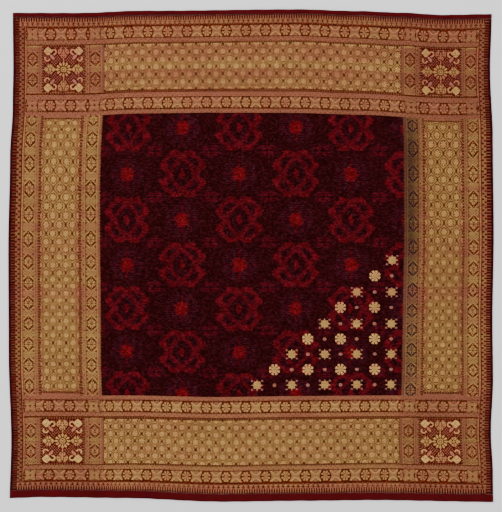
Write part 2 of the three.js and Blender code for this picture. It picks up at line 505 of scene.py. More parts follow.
def makeDraft():
    xs = np.arange(-cloth["width"] / 2 + 4.0, cloth["width"] / 2 - 4.0, draft["step"])
    ys = np.arange(bottomSeam + 0.9, topSeam - 0.6, draft["pick"])
    x, y = np.meshgrid(xs, ys)
    gold = np.zeros(x.shape, bool)
    tone = np.full(x.shape, 0.5)
    shade = np.ones(x.shape)
    key = np.zeros(x.shape, np.int16)
    fromSide = cloth["width"] / 2 - np.abs(x)
    fromEnd = np.where(y > 0, topSeam - y, y - bottomSeam)

    def paint(where, level, kind, toneShift=0.0):
        levels = np.broadcast_to(np.asarray(level, float), x.shape)[where]
        gold[where] = levels > 0
        tone[where] = finish[kind][0] + np.broadcast_to(toneShift, x.shape)[where]
        shade[where] = finish[kind][1] * np.where(levels > 0, levels, 1)
        key[where] = np.rint(levels * 12)

    def sideBands(where, phase, pitch, rowPhase):
        d = fromSide
        tooth = np.abs(nearest(phase * 8, 1.0))
        along = phase * pitch
        dim = np.where(x < 0, 0.36, 0.66)
        comb = np.where(tooth < 0.14, dim, 0.0)
        stripe = pricked(phase * 4.5, 16.4 - d) * np.where(x < 0, 0.74, 0.92)
        ticks = np.where(tooth < 0.20, 0.8, 0.0)
        outer = diamondColumn(d - 36.0, phase, pitch)
        lattice = medallions(d - 90.2, 2 * draft["sideColumn"], rowPhase, 1.0, draft["sideRow"],
                             draft["sideMedallion"], 1)
        rosyEdge = -0.5 * ((d < 61) | (d > 119.4))
        inner = diamondColumn(d - 146.0, phase, pitch)
        guard = guardLine(along, d - 131.0, 5.0) * 0.9
        # from the edge in: where a band starts and ends, its brightness, finish and tone
        for start, end, level, kind, toneShift in (
                (4.5, 12.2, comb, "comb", 0), (12.2, 20.4, stripe, "flowers", -0.05),
                (22.0, 25.2, 0.96, "sideDiamonds", -0.3), (26.2, 45.8, outer, "sideDiamonds", 0),
                (46.2, 48.0, 1.0, "sideDiamonds", -0.3), (48.4, 52.4, 0.80, "guard", 0.25),
                (52.4, 56.0, ticks, "guard", 0), (56.2, 124.4, lattice, "sideLattice", rosyEdge),
                (124.6, 128.0, ticks, "guard", 0), (128.2, 133.8, guard, "guard", 0.25),
                (134.0, 135.8, 1.04, "sideDiamonds", -0.3), (136.6, 155.6, inner, "sideDiamonds", 0),
                (155.8, 157.6, 1.06, "sideDiamonds", -0.2), (157.8, 161.6, 0.78, "guard", 0),
                (161.6, 163.0, ticks, "guard", 0)):
            paint(where & (d > start) & (d < end), level, kind, toneShift)

    inField = (fromSide >= cloth["sideBorder"]) & (fromEnd >= cloth["endBorder"])
    for side, sign in (("left", -1), ("right", 1)):
        phase = motifsDown(sideDiamonds[side], ys, 36.0, 36.9)
        rowPhase = motifsDown(sideLatticeRows[side], ys, 28.0, 25.5)
        pitch = np.interp(ys, [-60, 40], [37.6, 45.6])
        where = (x * sign > 0) & (fromSide < cloth["sideBorder"]) & (fromEnd > cloth["endBorder"])
        sideBands(where, phase[:, None], pitch[:, None], rowPhase[:, None])
        # a rosy strip and a dark dotted line close the lattice off at both ends
        strip = where & (np.abs(fromSide - 90.3) < 34) & (fromEnd < 183.8)
        dotted = (fromEnd > 180.4) & (np.abs(nearest(x, 4.5)) > 0.7)
        paint(strip, np.where(dotted, 0.0, 0.92), "guard")

    # the corners: the side bands go on between the star rows of the end borders
    nearCorner = (fromSide < cloth["sideBorder"]) & (fromEnd <= cloth["endBorder"])
    between = nearCorner & (fromEnd > 50.4) & (fromEnd < 136.4)
    phase = (fromEnd - 93.3) / 36.9 + 0.5
    sideBands(between, phase, 36.9, (fromEnd - 93.3) / 26.7)
    outside = nearCorner & ~between
    sideBands(outside & (fromSide < 24), phase, 36.9, phase)

    # end borders, from the hem in
    u = x - draft["firstStar"]
    e = fromEnd
    eighth = draft["starPitch"] / 8
    tooth = np.abs(nearest(u, eighth)) / eighth
    ends = (fromEnd < cloth["endBorder"]) & (fromSide > 12.2)
    middle = ends & (fromSide >= cloth["sideBorder"])
    wide = ends & (fromSide > 23)
    paint(ends & (e > 0.3) & (e < 9.4), np.where(tooth < 0.12 + 0.018 * e, 0.94, 0), "comb")
    paint(ends & (e >= 9.4) & (e < 18.6), florets(u / (2 * eighth), 13.4 - e, 2 * eighth),
          "flowers")
    for centre in (30.4, 157.8):
        band = wide & (np.abs(e - centre) < 10.5)
        paint(band, starBand(u, e - centre), "stars")
        for column in (36.0, 146.2):
            crossing = band & (np.abs(fromSide - column) < 10.4)
            a = fromSide - column
            b = e - centre
            paint(crossing, crossingFlower(a, b), "sideDiamonds")
    for guardLow, guardHigh in ((41.6, 49.0), (138.6, 146.6), (169.4, 176.4)):
        guard = wide & (e > guardLow) & (e < guardHigh)
        paint(guard, guardLine(u, e - (guardLow + guardHigh) / 2, 5.5), "guard")
    for centre in (50.6, 136.2):
        paint(middle & (np.abs(e - centre) < 1.6), np.where(tooth < 0.16, 0.8, 0), "guard")
    lattice = middle & (e > 52.6) & (e < 133.6)
    spots = medallions(x + cloth["width"] / 2 - 188.5, draft["medallionPitch"], e - 53.5,
                       2 * draft["latticeRow"], 1.0, draft["endMedallion"], 0)
    paint(lattice, spots, "lattice")

    # corner squares with their dotted frames
    square = (fromSide > 55.6) & (fromSide < 124.6) & (e > 52.4) & (e < 133.8)
    a, b = fromSide - 90.2, e - 93.2
    level, tint = cornerSquare(a, b)
    paint(square, level, "corner", tint)
    frameLine = ((np.abs(e - 51.0) < 1.6) | (np.abs(e - 135.6) < 1.6)) & (
        (fromSide > 54) & (fromSide < 126))
    paint(frameLine, np.where(tooth < 0.20, 0.7, 0), "guard")

    piece = pieceNumbers(x, y, fromSide, fromEnd, square)
    for spot, level, spangleTone in placedSpangles(x, y, inField):
        gold[spot] = True
        tone[spot] = spangleTone
        shade[spot] = finish["spangle"][1] * level
        key[spot] = np.rint(level * 12)
        piece[spot] = pieceNames.index("gold_spangles")
    wearAndShadeMetal(x, y, ys, fromSide, fromEnd, square, tone, shade)
    return xs, ys, gold, tone, shade, piece, key


def pieceNumbers(x, y, fromSide, fromEnd, square):
    # which of pieceNames a point of the border is woven into
    piece = np.full(x.shape, -1)
    along = (fromSide < cloth["sideBorder"]) & (fromEnd > cloth["endBorder"])
    piece[along & (x < 0)] = pieceNames.index("gold_left")
    piece[along & (x > 0)] = pieceNames.index("gold_right")
    ended = fromEnd <= cloth["endBorder"]
    for end, half in (("top", y > 0), ("bottom", y < 0)):
        for strip, start in (("outer", -np.inf), ("lattice", 51), ("inner", 135.5)):
            inStrip = ended & half & (fromEnd >= start)
            piece[inStrip] = pieceNames.index("gold_" + end + "_" + strip)
        for side, hand in (("left", x < 0), ("right", x > 0)):
            number = pieceNames.index("gold_corner_" + end + "_" + side)
            piece[square & half & hand] = number
    return piece


def placedSpangles(x, y, inField):
    # each spangle's cells of the draft, with their brightness and tone
    last = len(spangles["columns"]) - 1
    for r, rowY in enumerate(spangles["rows"]):
        for c, columnX in enumerate(spangles["columns"]):
            if c < last - r:
                continue
            du, dv = x - columnX, y - rowY
            dotted = (c - (last - r)) % 2 == 1
            if dotted:
                level = np.where(np.hypot(du * 0.86, dv) < spangles["dotRadius"], 0.9, 0.0)
            else:
                level = spangleStar(du, dv) if r % 2 == 0 else spangleRosette(du, dv)
            spot = inField & (np.maximum(np.abs(du), np.abs(dv)) < 12) & (level > 0)
            pale = np.where(dotted | (level < 0.85), -0.6, np.where(level > 1.0, 0.45, 1.0))
            yield spot, level[spot], pale[spot]


def wearAndShadeMetal(x, y, ys, fromSide, fromEnd, square, tone, shade):
    # bars from one bobbin to the next, rubbed patches, a dark strip, and painted shade that dims the
    # metal towards the right
    ended = fromEnd <= cloth["endBorder"]
    bars = rng.normal(0, 0.035, ys.shape) + 0.05 * np.sin(ys / 9.0) * np.sin(ys / 41.0)
    shade *= 1 + bars[:, None]
    changes = bottomSeam + np.cumsum(rng.uniform(3, 16, 120))
    bobbin = rng.normal(0, 0.17, 121)[np.searchsorted(changes, ys)]
    tone += (rng.normal(0, 0.05, ys.shape) + bobbin)[:, None]
    tone += 0.13 * np.sin(x / 23 + 2 * np.sin(y / 37)) * np.sin(y / 19 + 1.5 * np.sin(x / 51))
    rightStrip = np.clip(1 - np.abs(fromSide - darkStrip["fromSide"]) / darkStrip["reach"], 0, 1)
    rightStrip *= (x > 0) & ~ended
    strength = np.interp(ys, darkStrip["rows"], darkStrip["strength"])
    shade *= 1 - rightStrip ** 0.5 * strength[:, None]
    tone -= darkStrip["tone"] * rightStrip
    right, top = wearAndShade["spans"]
    # painted shade: darker towards the right, where the light falls off; also a little darker
    # towards the top
    shade *= 1 - wearAndShade["shadeTowardsRight"] * x / right - wearAndShade["towardsTop"] * y / top
    tone -= wearAndShade["topTone"] * (ended & (y > 0))
    shade *= 1 + wearAndShade["lowSquares"] * (square & (y < 0))
    block = ended & (fromSide < cloth["sideBorder"]) & ~square
    tone -= wearAndShade["blockTone"] * block * np.clip(tone * 2, 0, 1)
    shade *= 1 - wearAndShade["blockShade"] * block
    shade *= 1 + wearAndShade["rightEdge"] * ((x > 0) & ~ended & (fromSide < wearAndShade["edgeDepth"]))
    low = ended & (y < 0)
    lowComb = low & (fromEnd < wearAndShade["combDepth"])
    lowStars = lowComb | (low & (fromEnd > wearAndShade["innerStars"]))
    shade *= 1 + wearAndShade["lowStars"] * (lowStars & (fromSide >= cloth["sideBorder"]))
    shade *= 1 + wearAndShade["lowComb"] * lowComb


# One float of metal thread: a flat-bottomed roof whose ends dip under the binding warp.
floatSizes = {
    "width": 0.84,
    "height": 0.30,
    "dip": 0.32,  # how far the ridge stops short of each end
    "clear": 0.04,  # above the silk
}


def floatTemplate():
    bm = bmesh.new()
    bmesh.ops.create_cube(bm, size=1)
    bmesh.ops.translate(bm, verts=bm.verts, vec=(0, 0, 0.5))
    under = [f for f in bm.faces if f.normal.z < -0.5]
    bmesh.ops.delete(bm, geom=under, context="FACES_ONLY")
    for end in (-1, 1):
        pair = [v for v in bm.verts if v.co.z > 0.5 and v.co.x * end > 0]
        bmesh.ops.pointmerge(bm, verts=pair, merge_co=(0.5 * end, 0, 1))
    bmesh.ops.recalc_face_normals(bm, faces=bm.faces)
    bm.verts.index_update()
    points = np.array([v.co for v in bm.verts])
    faces = [[v.index for v in f.verts] for f in bm.faces]
    # an open roof can come out inside out, so its ridge tells which way is up
    slope = [f for f in bm.faces if len(f.verts) == 4][0]
    if slope.normal.z < 0:
        faces = [f[::-1] for f in faces]
    bm.free()
    return points, faces


def runsOf(mask, key):
    # stretches of one row with gold on top and the same brightness
    marks = np.pad(np.where(mask, key, 0), ((0, 0), (1, 1)))
    change = np.diff(marks, axis=1) != 0
    row, start = np.nonzero(change & (marks[:, 1:] != 0))
    end = np.nonzero(change & (marks[:, :-1] != 0))[1]
    return row, start, end


def weaveFloats(name, mask, key, xs, ys, tone, shade, template):
    points, faces = template
    row, start, end = runsOf(mask, key)
    keep = end - start >= 2
    row, start, end = row[keep], start[keep], end[keep]
    count = len(row)
    step = draft["step"]
    x0 = xs[start] - step / 2
    x1 = xs[end - 1] + step / 2
    middle = (start + end) // 2
    length = x1 - x0
    dip = np.minimum(floatSizes["dip"], 0.3 * length)
    ridge = points[:, 2]
    px = ((x0 + x1) / 2)[:, None] + points[:, 0] * length[:, None]
    px -= np.sign(points[:, 0]) * ridge * dip[:, None]
    py = ys[row][:, None] + points[:, 1] * floatSizes["width"]
    py = py + rng.normal(0, 0.03, count)[:, None]
    height = floatSizes["height"] * (1 + rng.normal(0, 0.12, count))[:, None]
    pz = cloth["thickness"] + floatSizes["clear"] + lift(px, py) + ridge * height
    wx, wy = place(px, py)
    corners = np.stack([wx, wy, pz], axis=2).reshape(-1, 3) * mm
    sizes = np.array([len(f) for f in faces])
    loops = np.concatenate([np.array(f) for f in faces])
    loopVerts = (np.arange(count)[:, None] * len(points) + loops).ravel()
    starts = np.concatenate([[0], np.cumsum(sizes)[:-1]])
    loopStarts = (np.arange(count)[:, None] * len(loops) + starts).ravel()
    mesh = bpy.data.meshes.new(name)
    mesh.vertices.add(len(corners))
    mesh.vertices.foreach_set("co", corners.astype(np.float32).ravel())
    mesh.loops.add(len(loopVerts))
    mesh.loops.foreach_set("vertex_index", loopVerts.astype(np.int32))
    mesh.polygons.add(len(loopStarts))
    mesh.polygons.foreach_set("loop_start", loopStarts.astype(np.int32))
    mesh.polygons.foreach_set("use_smooth", np.ones(len(loopStarts), bool))
    mesh.update(calc_edges=True)
    mesh.validate()
    runTone = np.clip(tone[row, middle] + rng.normal(0, 0.07, count), -0.7, 1)
    runShade = shade[row, middle] * (1 + rng.normal(0, 0.10, count))
    for label, values in (("tone", runTone), ("shade", runShade)):
        attribute = mesh.attributes.new(label, "FLOAT", "POINT")
        attribute.data.foreach_set("value", np.repeat(values, len(points)).astype(np.float32))
    # the whole piece seen from above fills its texture
    low = corners[:, :2].min(axis=0)
    size = corners[:, :2].max(axis=0) - low
    flat = (corners[loopVerts, :2] - low) / size * 0.98 + 0.01
    mesh.uv_layers.new(name="OFBake").data.foreach_set("uv", flat.astype(np.float32).ravel())
    print("woven", name, count, "floats")
    return addObject(name, mesh)


# Gilt thread: a narrow metal strip wound on a silk core, dulled with age.
# It gives a warm grainy glitter along the weft, rosy where the gilding has worn.
giltThread = {
    "pink": "9c6459",  # where the metal has gone and the silk core shows
    "rosy": "a2624a",
    "yellow": "b38b50",
    "edgeTint": "d29a58",
    "metallic": 0.55,
    "roughness": 0.42,
    "windingPitch": 1.92,  # mm, real windings are 0.3 mm apart, drawn coarser to show
}


def giltThreadMaterial():
    material, tree = newMaterial("gilt_thread_wound_on_silk")
    tone = addNode(tree, "ShaderNodeAttribute", {"attribute_name": "tone"})
    shade = addNode(tree, "ShaderNodeAttribute", {"attribute_name": "shade"})
    spot = addNode(tree, "ShaderNodeTexCoord").outputs["Object"]
    worn = addNode(tree, "ShaderNodeTexNoise", {}, {"Vector": spot, "Scale": 55.0, "Detail": 3.0})
    wornTone = addNode(tree, "ShaderNodeMath", {"operation": "MULTIPLY_ADD"},
                       {0: worn, 1: 0.6, 2: -0.3})
    toneSum = addNode(tree, "ShaderNodeMath", {"operation": "ADD"},
                      {0: tone.outputs["Fac"], 1: wornTone})
    # tone runs from -0.5 for pink through 0 for rosy to 1 for yellow
    tonePlace = addNode(tree, "ShaderNodeMath", {"operation": "MULTIPLY_ADD"},
                        {0: toneSum, 1: 0.666, 2: 0.333})
    rosy = linear(giltThread["rosy"])
    mixed = addNode(tree, "ShaderNodeValToRGB", {}, {"Fac": tonePlace}, [
        (0.0, linear(giltThread["pink"])), (0.15, rosy), (0.333, rosy),
        (1.0, linear(giltThread["yellow"]))])
    dusk = addNode(tree, "ShaderNodeTexNoise", {}, {"Vector": spot, "Scale": 14.0, "Detail": 2.0})
    duskAmount = addNode(tree, "ShaderNodeMath", {"operation": "MULTIPLY_ADD"},
                         {0: dusk, 1: 0.36, 2: 0.82})
    bright = addNode(tree, "ShaderNodeMath", {"operation": "MULTIPLY"},
                     {0: shade.outputs["Fac"], 1: duskAmount})
    colour = addNode(tree, "ShaderNodeVectorMath", {"operation": "SCALE"},
                     {0: mixed, "Scale": bright})
    winding = addNode(tree, "ShaderNodeTexWave",
                      {"wave_type": "BANDS", "bands_direction": "DIAGONAL"},
                      {"Vector": spot, "Distortion": 1.5,
                       "Scale": waveBand / (giltThread["windingPitch"] * mm)})
    bump = addNode(tree, "ShaderNodeBump", {},
                   {"Height": winding.outputs["Fac"], "Strength": 0.25, "Distance": 0.0001})
    rough = addNode(tree, "ShaderNodeMath", {"operation": "MULTIPLY_ADD"},
                    {0: worn, 1: 0.2, 2: giltThread["roughness"] - 0.1})
    surface = addNode(tree, "ShaderNodeBsdfPrincipled", {}, {
        "Base Color": colour, "Metallic": giltThread["metallic"],
        "Roughness": rough, "Specular Tint": linear(giltThread["edgeTint"]),
        "Normal": bump})
    addNode(tree, "ShaderNodeOutputMaterial", {}, {"Surface": surface})
    return material


# The tie-dyed weft of the field, one quarter of its repeat, in mm from a rosette's centre.
ikat = {
    "halfRepeat": (101.3, 80.4),
    "lastHalf": 75.0,  # the depth of a half repeat at the bottom, beaten closer
    "bundle": 2.0,  # wefts tied and dyed together
    "rowsPerHalf": 40,
    "columnPlaces": [(0, -223.9), (1, -124.9), (2, -21.4), (3, 81.2), (4, 180.2), (5, 282.0)],
    "rowPlaces": [(0, 232.0), (1, 147.4), (2, 64.6), (3, -17.1), (4, -96.3), (5, -174.6),
                  (6, -249.3)],
    "colours": {  # depth of dye, from the darkest ground to the clearest red
        "night": "130304", "dark": "240405", "plum": "340611", "grey": "34131d",
        "wine": "42060c", "red": "540811", "clear": "5e0912", "star": "680b10",
    },
    "flecks": ["0b0b04", "1e0404", "28050e", "38161c"],  # odd threads, greenish to mauve
}


# Rosette strokes for one quarter: points in mm from its centre, with their width.
rosetteStrokes = [
    {"dye": "red", "width": 6.6, "points": [(22, 0), (14, 16), (0, 29)]},
    {"dye": "red", "width": 9.6, "points": [(22, 0), (29, 7), (35, 14)]},
    {"dye": "red", "width": 8.2, "points": [(35, 15), (30, 24), (24, 29), (17, 35)]},
    {"dye": "red", "width": 9.4, "points": [(16, 36), (8, 35), (0, 29)]},
]


def strokeDistance(u, v, points):
    best = 1e9
    for (x0, y0), (x1, y1) in zip(points, points[1:]):
        dx, dy = x1 - x0, y1 - y0
        t = min(max(((u - x0) * dx + (v - y0) * dy) / (dx * dx + dy * dy), 0), 1)
        best = min(best, math.hypot(u - x0 - t * dx, v - y0 - t * dy))
    return best


def dyeAt(u, v):
    # which dye a bundle takes at u, v mm from a rosette, for one quarter of the repeat
    w, h = ikat["halfRepeat"]
    dye = "dark"
    du, dv = abs(u - w), v
    # faint chequered halo round the star
    if 12 < math.hypot(du, dv) < 30 and int((du + dv) / 4.0) % 2 == int((du - dv + 90) / 4.0) % 2:
        dye = "grey" if int(du / 7) % 2 else "plum"
    if oval(du, dv, 26, 0, 4.5, 5.0):
        dye = "plum"
    # half way, a small four-petalled flower of dashes
    fu, fv = abs(u - w / 2), abs(v - h / 2)
    if oval(fu, fv, 6.5, 5.5, 6.2, 5.0):
        dye = "red" if int(fv / 2) % 2 else "plum"
    if oval(fu, fv, 17, 4, 4, 2.6) or (fu < 3.5 and 11 < fv < 15):
        dye = "plum"
    if fu < 2.5 and fv < 2:
        dye = "night"
    if oval(u, v, 0, 0, 30, 34):
        dye = "plum" if (int(u / 5) + int(v / 4)) % 2 else "dark"
    for stroke in rosetteStrokes:
        if strokeDistance(u, v, stroke["points"]) < stroke["width"] / 2:
            dye = stroke["dye"]
    if oval(u, v, 34.5, 14.5, 7.2, 7.4) or oval(u, v, 16, 36, 7.6, 6.4):
        dye = "red"
    if oval(u, v, 35.0, 14.5, 5.4, 5.4) or oval(u, v, 16.5, 36.5, 5.8, 4.6):
        dye = "clear"
    if oval(u, v, 21.5, 21.5, 5.2, 5.2) or oval(u, v, 13, 6, 3.0, 3.0):
        dye = "night"
    if oval(u, v, 21.5, 21.5, 1.8, 2.0):
        dye = "plum"
    lozenge = abs(u) / 6.0 + abs(v) / 11.5
    if lozenge < 1.6:
        dye = "night"
    if lozenge < 1.0:
        dye = "clear"
    # the bright star between rosettes, with rays
    if (du < 3.4 and dv < 24) or (dv < 2.4 and du < 15):
        dye = "wine"
    if max(du, dv) < 11.2 and du + dv < 19:
        dye = "clear"
    if max(du, dv) < 9.4 and du + dv < 15:
        dye = "star"
    if abs(du - 13) < 2 and abs(dv - 13) < 2:
        dye = "wine"
    return dye


def dyeRuns(v):
    # stops of one weft bundle: where along the half repeat the dye changes
    w = ikat["halfRepeat"][0]
    runs = []
    for k in range(100):
        dye = dyeAt((k + 0.5) * w / 100, v)
        if not runs or runs[-1][1] != dye:
            runs.append((k / 100, dye))
    while len(runs) > 32:
        widths = [b[0] - a[0] for a, b in zip(runs[1:], runs[2:])]
        runs.pop(1 + widths.index(min(widths)))
    return runs


# Plain woven silk, dyed with lac: deep crimson, close and softly lustrous, ribbed by its wefts.
groundSilk = {
    "border": "4e1808",
    "brown": "4a1e09",  # between the denser bands the yellow core threads show through
    "cornerRed": "460c06",
    "selvedge": "30060b",
    "comb": "400906",
    "lustre": "7a2024",  # light comes back out of the dyed fibre red
    "roughness": 0.55,
    "ribPitch": 1.3,  # mm, real wefts are 0.3 mm apart, drawn coarser to show
    "warpPitch": 2.08,
    "dash": 3.4,  # mm, how long an odd thread shows
    "fleckShare": 0.34,  # how strongly odd threads show in the field
    "feather": 0.045,  # how far the dye's edge wanders from weft to weft, in half repeats
    "rowWander": 0.05,
    "squareAcross": (90, 36),  # mm from the side, middle and half width of the corner squares
    "squareAlong": (93, 42),  # mm from the end
}


def dyedField(tree, y, soft, streak):
    # each weft is shifted a little by itself, so that every edge of colour is feathered
    ikatUv = addNode(tree, "ShaderNodeUVMap", {"uv_map": "ikat"})
    phase = addNode(tree, "ShaderNodeSeparateXYZ", {}, {0: ikatUv})
    pick = addNode(tree, "ShaderNodeMath", {"operation": "DIVIDE"}, {0: y, 1: draft["pick"] * mm})
    thread = addNode(tree, "ShaderNodeMath", {"operation": "FLOOR"}, {0: pick})
    wander = addNode(tree, "ShaderNodeTexWhiteNoise", {"noise_dimensions": "1D"}, {"W": thread})
    shifted = addNode(tree, "ShaderNodeMath", {"operation": "MULTIPLY_ADD"},
                      {0: wander, 1: groundSilk["feather"], 2: phase.outputs["X"]})
    rows = addNode(tree, "ShaderNodeMath", {"operation": "MULTIPLY_ADD"},
                   {0: soft, 1: groundSilk["rowWander"], 2: phase.outputs["Y"]})
    # fold the repeat down to one quarter, then the turned half onto the upright one
    a = addNode(tree, "ShaderNodeMath", {"operation": "PINGPONG"}, {0: shifted, 1: 1.0})
    b = addNode(tree, "ShaderNodeMath", {"operation": "PINGPONG"}, {0: rows, 1: 1.0})
    turned = addNode(tree, "ShaderNodeMath", {"operation": "GREATER_THAN"}, {0: b, 1: 0.5})
    aTurned = addNode(tree, "ShaderNodeMath", {"operation": "SUBTRACT"}, {0: a, 1: turned})
    bTurned = addNode(tree, "ShaderNodeMath", {"operation": "SUBTRACT"}, {0: b, 1: turned})
    across = addNode(tree, "ShaderNodeMath", {"operation": "ABSOLUTE"}, {0: aTurned})
    down = addNode(tree, "ShaderNodeMath", {"operation": "ABSOLUTE"}, {0: bTurned})
    rowAt = addNode(tree, "ShaderNodeMath", {"operation": "MULTIPLY"},
                    {0: down, 1: ikat["rowsPerHalf"]})
    bundle = addNode(tree, "ShaderNodeMath", {"operation": "FLOOR"}, {0: rowAt})
    colours = {name: linear(value) for name, value in ikat["colours"].items()}
    current = None
    for j in range(ikat["rowsPerHalf"] // 2 + 1):
        runs = dyeRuns((j + 0.5) * ikat["bundle"])
        ramp = addNode(tree, "ShaderNodeValToRGB", {}, {"Fac": across},
                       [(at, colours[dye]) for at, dye in runs])
        ramp.color_ramp.interpolation = "CONSTANT"
        if current is None:
            current = ramp
            continue
        here = addNode(tree, "ShaderNodeMath", {"operation": "COMPARE"}, {0: bundle, 1: j, 2: 0.5})
        current = addNode(tree, "ShaderNodeMix", {"data_type": "RGBA"}, {
            0: here, 6: current, 7: ramp}).outputs[2]
    # odd threads of other dye lots
    places = np.linspace(0, 1, len(ikat["flecks"]))
    flecks = addNode(tree, "ShaderNodeValToRGB", {}, {"Fac": streak},
                     list(zip(places, map(linear, ikat["flecks"]))))
    field = addNode(tree, "ShaderNodeMix", {"data_type": "RGBA"},
                    {0: groundSilk["fleckShare"], 6: current, 7: flecks})
    return field.outputs[2]


def planColour(tree, x, y, field):
    # the parts of the plan: selvedge, comb, border, corner squares, dark strip and field
    away = addNode(tree, "ShaderNodeMath", {"operation": "ABSOLUTE"}, {0: x})
    fromSide = addNode(tree, "ShaderNodeMath", {"operation": "SUBTRACT"},
                       {0: cloth["width"] * mm / 2, 1: away})
    lowEnd = addNode(tree, "ShaderNodeMath", {"operation": "ADD"}, {0: y, 1: -bottomSeam * mm})
    highEnd = addNode(tree, "ShaderNodeMath", {"operation": "SUBTRACT"}, {0: topSeam * mm, 1: y})
    fromEnd = addNode(tree, "ShaderNodeMath", {"operation": "MINIMUM"}, {0: lowEnd, 1: highEnd})
    pastSide = addNode(tree, "ShaderNodeMath", {"operation": "GREATER_THAN"},
                       {0: fromSide, 1: cloth["sideBorder"] * mm})
    pastEnd = addNode(tree, "ShaderNodeMath", {"operation": "GREATER_THAN"},
                      {0: fromEnd, 1: cloth["endBorder"] * mm})
    inField = addNode(tree, "ShaderNodeMath", {"operation": "MULTIPLY"}, {0: pastSide, 1: pastEnd})
    edgeAway = addNode(tree, "ShaderNodeMath", {"operation": "ADD"}, {0: fromEnd, 1: 0.004})
    nearestEdge = addNode(tree, "ShaderNodeMath", {"operation": "MINIMUM"},
                          {0: fromSide, 1: edgeAway})
    ground = addNode(tree, "ShaderNodeValToRGB", {}, {"Fac": nearestEdge}, [
        (inward * mm, linear(groundSilk[part])) for inward, part in (
            (3.0, "selvedge"), (7.0, "comb"), (20.0, "border"), (50.0, "brown"))])
    across, along = [
        addNode(tree, "ShaderNodeMath", {"operation": "COMPARE"},
                {0: inward, 1: groundSilk[box][0] * mm, 2: groundSilk[box][1] * mm})
        for inward, box in ((fromSide, "squareAcross"), (fromEnd, "squareAlong"))]
    inSquare = addNode(tree, "ShaderNodeMath", {"operation": "MULTIPLY"}, {0: across, 1: along})
    border = addNode(tree, "ShaderNodeMix", {"data_type": "RGBA"}, {
        0: inSquare, 6: ground, 7: linear(groundSilk["cornerRed"])})
    # the silk is darker and greyer along the strip too
    stripOffset = addNode(tree, "ShaderNodeMath", {"operation": "SUBTRACT"},
                          {0: x, 1: (cloth["width"] / 2 - darkStrip["fromSide"]) * mm})
    stripAway = addNode(tree, "ShaderNodeMath", {"operation": "ABSOLUTE"}, {0: stripOffset})
    stripFade = addNode(tree, "ShaderNodeMapRange", {}, {
        0: stripAway, 1: darkStrip["reach"] * mm * 0.4, 2: darkStrip["reach"] * mm, 3: 1.0, 4: 0.0})
    stripAmount = addNode(tree, "ShaderNodeMath", {"operation": "MULTIPLY"}, {0: stripFade, 1: pastEnd})
    withStrip = addNode(tree, "ShaderNodeMix", {"data_type": "RGBA"}, {
        0: stripAmount, 6: border.outputs[2], 7: linear(darkStrip["silk"])})
    whole = addNode(tree, "ShaderNodeMix", {"data_type": "RGBA"},
                    {0: inField, 6: withStrip.outputs[2], 7: field})
    return whole.outputs[2]


def silkMaterial():
    material, tree = newMaterial("lac_dyed_silk_weft_ikat")
    planUv = addNode(tree, "ShaderNodeUVMap", {"uv_map": "plan"})
    plan = addNode(tree, "ShaderNodeSeparateXYZ", {}, {0: planUv})
    x, y = plan.outputs["X"], plan.outputs["Y"]
    soft = addNode(tree, "ShaderNodeTexNoise", {}, {"Vector": planUv, "Scale": 160.0})
    # short dashes along the weft
    dash = addNode(tree, "ShaderNodeVectorMath", {"operation": "DIVIDE"},
                   {0: planUv, 1: (groundSilk["dash"] * mm, draft["pick"] * mm * 2, 1.0)})
    dashCell = addNode(tree, "ShaderNodeVectorMath", {"operation": "FLOOR"}, {0: dash})
    streak = addNode(tree, "ShaderNodeTexWhiteNoise", {"noise_dimensions": "2D"},
                     {"Vector": dashCell})
    whole = planColour(tree, x, y, dyedField(tree, y, soft, streak))

    # uneven dye and wear
    patch = addNode(tree, "ShaderNodeTexNoise", {}, {"Vector": planUv, "Scale": 9.0, "Detail": 4.0})
    patchDepth = addNode(tree, "ShaderNodeMath", {"operation": "MULTIPLY_ADD"},
                         {0: patch, 1: 0.5, 2: 0.3})
    blotch = addNode(tree, "ShaderNodeMath", {"operation": "MULTIPLY_ADD"},
                     {0: soft, 1: 1.5, 2: -0.75})
    unevenDye = addNode(tree, "ShaderNodeMath", {"operation": "ADD"}, {0: patchDepth, 1: blotch})
    depth = addNode(tree, "ShaderNodeMath", {"operation": "MULTIPLY_ADD"},
                    {0: streak, 1: 0.9, 2: unevenDye})
    colour = addNode(tree, "ShaderNodeVectorMath", {"operation": "SCALE"},
                     {0: whole, "Scale": depth})

    # weft ribs, with the warp's finer grain across them
    turns = [2 * math.pi / (groundSilk[pitch] * mm) for pitch in ("warpPitch", "ribPitch")]
    weave = addNode(tree, "ShaderNodeVectorMath", {"operation": "MULTIPLY"},
                    {0: planUv, 1: turns + [0.0]})
    waves = addNode(tree, "ShaderNodeVectorMath", {"operation": "SINE"}, {0: weave})
    relief = addNode(tree, "ShaderNodeVectorMath", {"operation": "DOT_PRODUCT"},
                     {0: waves, 1: (0.25, 0.6, 0.0)})
    bump = addNode(tree, "ShaderNodeBump", {},
                   {"Height": relief.outputs["Value"], "Strength": 0.35, "Distance": 0.00025})
    gloss = addNode(tree, "ShaderNodeMath", {"operation": "MULTIPLY_ADD"},
                    {0: patch, 1: 0.2, 2: groundSilk["roughness"] - 0.1})
    surface = addNode(tree, "ShaderNodeBsdfPrincipled", {}, {
        "Base Color": colour, "Roughness": gloss,
        "Specular IOR Level": 0.35, "Specular Tint": linear(groundSilk["lustre"]),
        "Normal": bump})
    addNode(tree, "ShaderNodeOutputMaterial", {}, {"Surface": surface})
    return material


